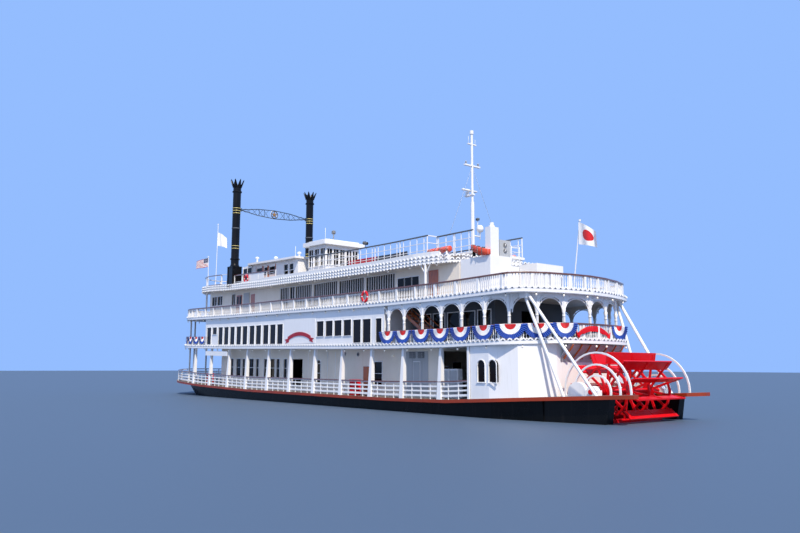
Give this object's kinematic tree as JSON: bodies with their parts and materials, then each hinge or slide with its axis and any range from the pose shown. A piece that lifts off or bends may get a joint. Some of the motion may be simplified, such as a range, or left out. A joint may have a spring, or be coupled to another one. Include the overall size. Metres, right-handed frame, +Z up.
{
  "type": "stern-wheel paddle steamer, 1:2 scale model",
  "caption": "Flat-bottomed stern-wheel river steamer with railed decks, glazed cabins, tall twin chimneys, a turning paddle wheel, rudders and hinged doors.",
  "frame": {"origin": "centre of the hull's flat bottom under the middle of the overall length", "axes": "+X towards the bow, +Y to port, +Z up; the waterline is at z = 0.75 m"},
  "size_m": [29.5, 5.4, 11.35],
  "materials": {
    "white_paint": "satin",
    "black_paint": "gloss",
    "red_paint": "gloss",
    "brown_paint": "satin",
    "door_wood": "varnished",
    "cream_paint": "satin",
    "grey_paint": "satin",
    "bare_steel": "satin",
    "striped_cloth": "woven",
    "white_cloth": "woven"
  },
  "bodies": {
    "ship": {"arcade_aft": "white_paint", "arcade_port": "white_paint", "arcade_stbd": "white_paint", "balcony_rail": "white_paint", "bearing_port": "white_paint", "bearing_stbd": "white_paint", "bow_flag": "striped_cloth", "bow_staff": "white_paint", "chimney_base_port": "black_paint", "chimney_base_stbd": "black_paint", "chimney_brace": "bare_steel", "chimney_port": "black_paint", "chimney_stbd": "black_paint", "deck_2": "white_paint", "deck_2_rail_bow": "white_paint", "deck_3": "white_paint", "deck_3_rail_aft": "white_paint", "deck_3_rail_bow": "white_paint", "deck_3_rail_port": "white_paint", "deck_3_rail_stbd": "white_paint", "deck_4": "white_paint", "deck_4_rail_bow": "white_paint", "deck_box": "white_paint", "engine": "grey_paint", "engine_house": "white_paint", "ensign_flag": "white_cloth", "ensign_staff": "white_paint", "exhaust_casing": "white_paint", "house_2": "white_paint", "house_3": "cream_paint", "hull": "black_paint", "jack_flag": "white_cloth", "jack_staff": "white_paint", "lounge_2": "grey_paint", "main_deck": "brown_paint", "main_house": "white_paint", "main_rail_bow": "white_paint", "main_rail_port": "white_paint", "main_rail_stbd": "white_paint", "mast": "white_paint", "pilothouse": "white_paint", "sponson_port": "black_paint", "sponson_stbd": "black_paint", "stair_tower": "white_paint", "struts_port": "white_paint", "struts_stbd": "white_paint", "sun_deck": "white_paint", "sun_rail_port": "white_paint", "sun_rail_stbd": "white_paint", "texas_house": "white_paint", "vent_unit": "grey_paint", "wheel_guard_port": "white_paint", "wheel_guard_stbd": "white_paint"},
    "paddle_wheel": {"paddle_wheel": "red_paint"},
    "rudder_port": {"rudder_port": "black_paint"},
    "rudder_stbd": {"rudder_stbd": "black_paint"},
    "main_door_port": {"main_door_port": "door_wood"},
    "main_door_stbd": {"main_door_stbd": "door_wood"},
    "saloon_door_port": {"saloon_door_port": "door_wood"},
    "saloon_door_stbd": {"saloon_door_stbd": "door_wood"}
  },
  "joints": [
    {"name": "wheel_spin", "type": "hinge", "parent": "ship", "child": "paddle_wheel", "pos_m": [-13.35, 0, 1.56], "axis": [0, 1, 0], "continuous": true},
    {"name": "rudder_port_turn", "type": "hinge", "parent": "ship", "child": "rudder_port", "pos_m": [-11.6, 0.85, 0], "axis": [0, 0, 1], "range_deg": [-35, 35]},
    {"name": "rudder_stbd_turn", "type": "hinge", "parent": "ship", "child": "rudder_stbd", "pos_m": [-11.6, -0.85, 0], "axis": [0, 0, 1], "range_deg": [-35, 35]},
    {"name": "main_door_port_swing", "type": "hinge", "parent": "ship", "child": "main_door_port", "pos_m": [-3.9, 1.95, 1.2], "axis": [0, 0, 1], "range_deg": [0, 95]},
    {"name": "main_door_stbd_swing", "type": "hinge", "parent": "ship", "child": "main_door_stbd", "pos_m": [-3.9, -1.95, 1.2], "axis": [0, 0, -1], "range_deg": [0, 95]},
    {"name": "saloon_door_port_swing", "type": "hinge", "parent": "ship", "child": "saloon_door_port", "pos_m": [5.37, 1.85, 4.55], "axis": [0, 0, 1], "range_deg": [0, 95]},
    {"name": "saloon_door_stbd_swing", "type": "hinge", "parent": "ship", "child": "saloon_door_stbd", "pos_m": [5.37, -1.85, 4.55], "axis": [0, 0, -1], "range_deg": [0, 95]}
  ],
  "couplings": [
    {"joint": "rudder_stbd_turn", "follows": "rudder_port_turn", "ratio": 1}
  ]
}
